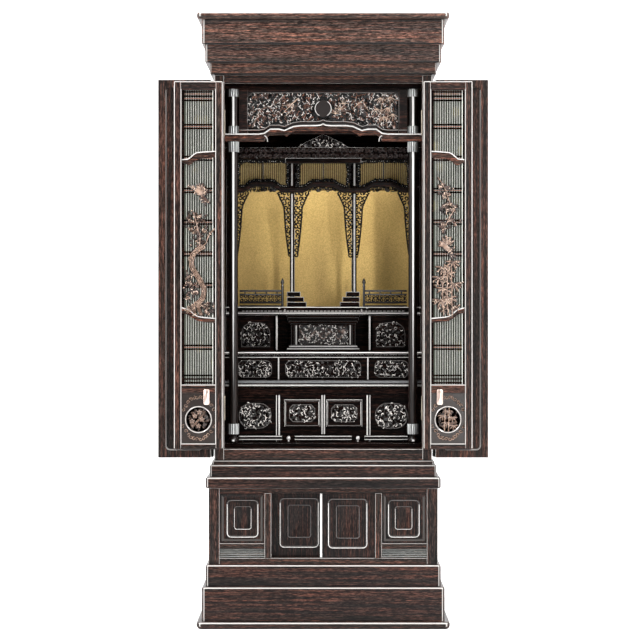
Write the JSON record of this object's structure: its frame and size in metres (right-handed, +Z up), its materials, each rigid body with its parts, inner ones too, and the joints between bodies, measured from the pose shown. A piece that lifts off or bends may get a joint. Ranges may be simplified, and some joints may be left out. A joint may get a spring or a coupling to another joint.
{
  "type": "household altar cabinet",
  "caption": "Dark wood household altar cabinet with folding outer doors, folding lattice screens, a carved stepped altar and a low cabinet with sliding doors.",
  "frame": {"origin": "centre of the foot moulding's underside, on the floor, measured over the whole part with its doors open", "axes": "+Z up, -Y towards the viewer in front of the open cabinet, +X to that viewer's right"},
  "size_m": [0.734, 0.45, 1.36],
  "materials": {
    "wood": "near-black ebony with red-brown streaks, polished",
    "carving": "carved dark wood, satin",
    "gold": "gilt paper on board, satin",
    "tag_metal": "pale pinkish plated metal, brushed",
    "cap_metal": "grey fluted metal, satin",
    "gauze": "grey-green gauze with pale painted flowers"
  },
  "bodies": {
    "cabinet": {"lower_plinth": "wood", "upper_plinth": "wood", "lower_front_frame": "wood", "lower_side_left": "wood", "lower_side_right": "wood", "lower_back": "wood", "lower_floor": "wood", "lower_panel_left": "wood", "lower_panel_right": "wood", "table_top": "wood", "moulding_frame": "wood", "body_front_frame": "wood", "body_side_left": "wood", "body_side_right": "wood", "body_back": "wood", "body_floor": "wood", "body_ceiling": "wood", "cornice_lower": "wood", "cornice_middle": "wood", "cornice_upper": "wood", "top_board": "wood", "inner_floor": "wood", "front_pillar_left": "wood", "front_pillar_right": "wood", "inner_lintel": "wood", "rainbow_beam": "wood", "transom_carving": "carving", "gable_ornament": "carving", "altar_canopy": "carving", "inner_pillar_left": "wood", "inner_pillar_right": "wood", "altar_back_panel": "gold", "altar_platform": "wood", "lower_tier": "carving", "middle_tier": "carving", "upper_tier": "carving", "altar_table": "carving", "railing_left": "wood", "railing_right": "wood"},
    "outer_door_left_a": {"outer_left_a": "wood"},
    "outer_door_left_b": {"outer_left_b": "wood"},
    "outer_door_right_a": {"outer_right_a": "wood"},
    "outer_door_right_b": {"outer_right_b": "wood"},
    "screen_left_a": {"screen_left_a_frame": "wood", "screen_left_a_lattice": "carving", "screen_left_a_panel": "carving"},
    "screen_left_b": {"screen_left_b_frame": "wood", "screen_left_b_lattice": "carving", "screen_left_b_panel": "carving", "pull_tag_left": "tag_metal"},
    "screen_right_a": {"screen_right_a_frame": "wood", "screen_right_a_lattice": "carving", "screen_right_a_panel": "carving"},
    "screen_right_b": {"screen_right_b_frame": "wood", "screen_right_b_lattice": "carving", "screen_right_b_panel": "carving", "pull_tag_right": "tag_metal"},
    "slide_left": {"sliding_door_left": "wood"},
    "slide_right": {"sliding_door_right": "wood"}
  },
  "joints": [
    {"name": "outer_left_hinge", "type": "hinge", "parent": "cabinet", "child": "outer_door_left_a", "pos_m": [-0.2455, -0.188, 0.7945], "axis": [0, 0, 1], "range_deg": [0, 180]},
    {"name": "outer_left_fold", "type": "hinge", "parent": "outer_door_left_a", "child": "outer_door_left_b", "pos_m": [-0.3675, -0.169, 0.7945], "axis": [0, 0, 1], "range_deg": [0, 180]},
    {"name": "outer_right_hinge", "type": "hinge", "parent": "cabinet", "child": "outer_door_right_a", "pos_m": [0.2455, -0.188, 0.7945], "axis": [0, 0, -1], "range_deg": [0, 180]},
    {"name": "outer_right_fold", "type": "hinge", "parent": "outer_door_right_a", "child": "outer_door_right_b", "pos_m": [0.3675, -0.169, 0.7945], "axis": [0, 0, -1], "range_deg": [0, 180]},
    {"name": "screen_left_hinge", "type": "hinge", "parent": "cabinet", "child": "screen_left_a", "pos_m": [-0.2195, -0.187, 0.8015], "axis": [0, 0, 1], "range_deg": [0, 180]},
    {"name": "screen_left_fold", "type": "hinge", "parent": "screen_left_a", "child": "screen_left_b", "pos_m": [-0.33, -0.203, 0.8015], "axis": [0, 0, -1], "range_deg": [0, 180]},
    {"name": "screen_right_hinge", "type": "hinge", "parent": "cabinet", "child": "screen_right_a", "pos_m": [0.2195, -0.187, 0.8015], "axis": [0, 0, -1], "range_deg": [0, 180]},
    {"name": "screen_right_fold", "type": "hinge", "parent": "screen_right_a", "child": "screen_right_b", "pos_m": [0.33, -0.203, 0.8015], "axis": [0, 0, 1], "range_deg": [0, 180]},
    {"name": "slide_left_travel", "type": "slide", "parent": "cabinet", "child": "slide_left", "axis": [1, 0, 0], "range_m": [0, 0.1075]},
    {"name": "slide_right_travel", "type": "slide", "parent": "cabinet", "child": "slide_right", "axis": [-1, 0, 0], "range_m": [0, 0.1075]}
  ],
  "couplings": [
    {"joint": "screen_left_hinge", "follows": "outer_left_hinge", "ratio": 1},
    {"joint": "screen_right_hinge", "follows": "outer_right_hinge", "ratio": 1}
  ]
}
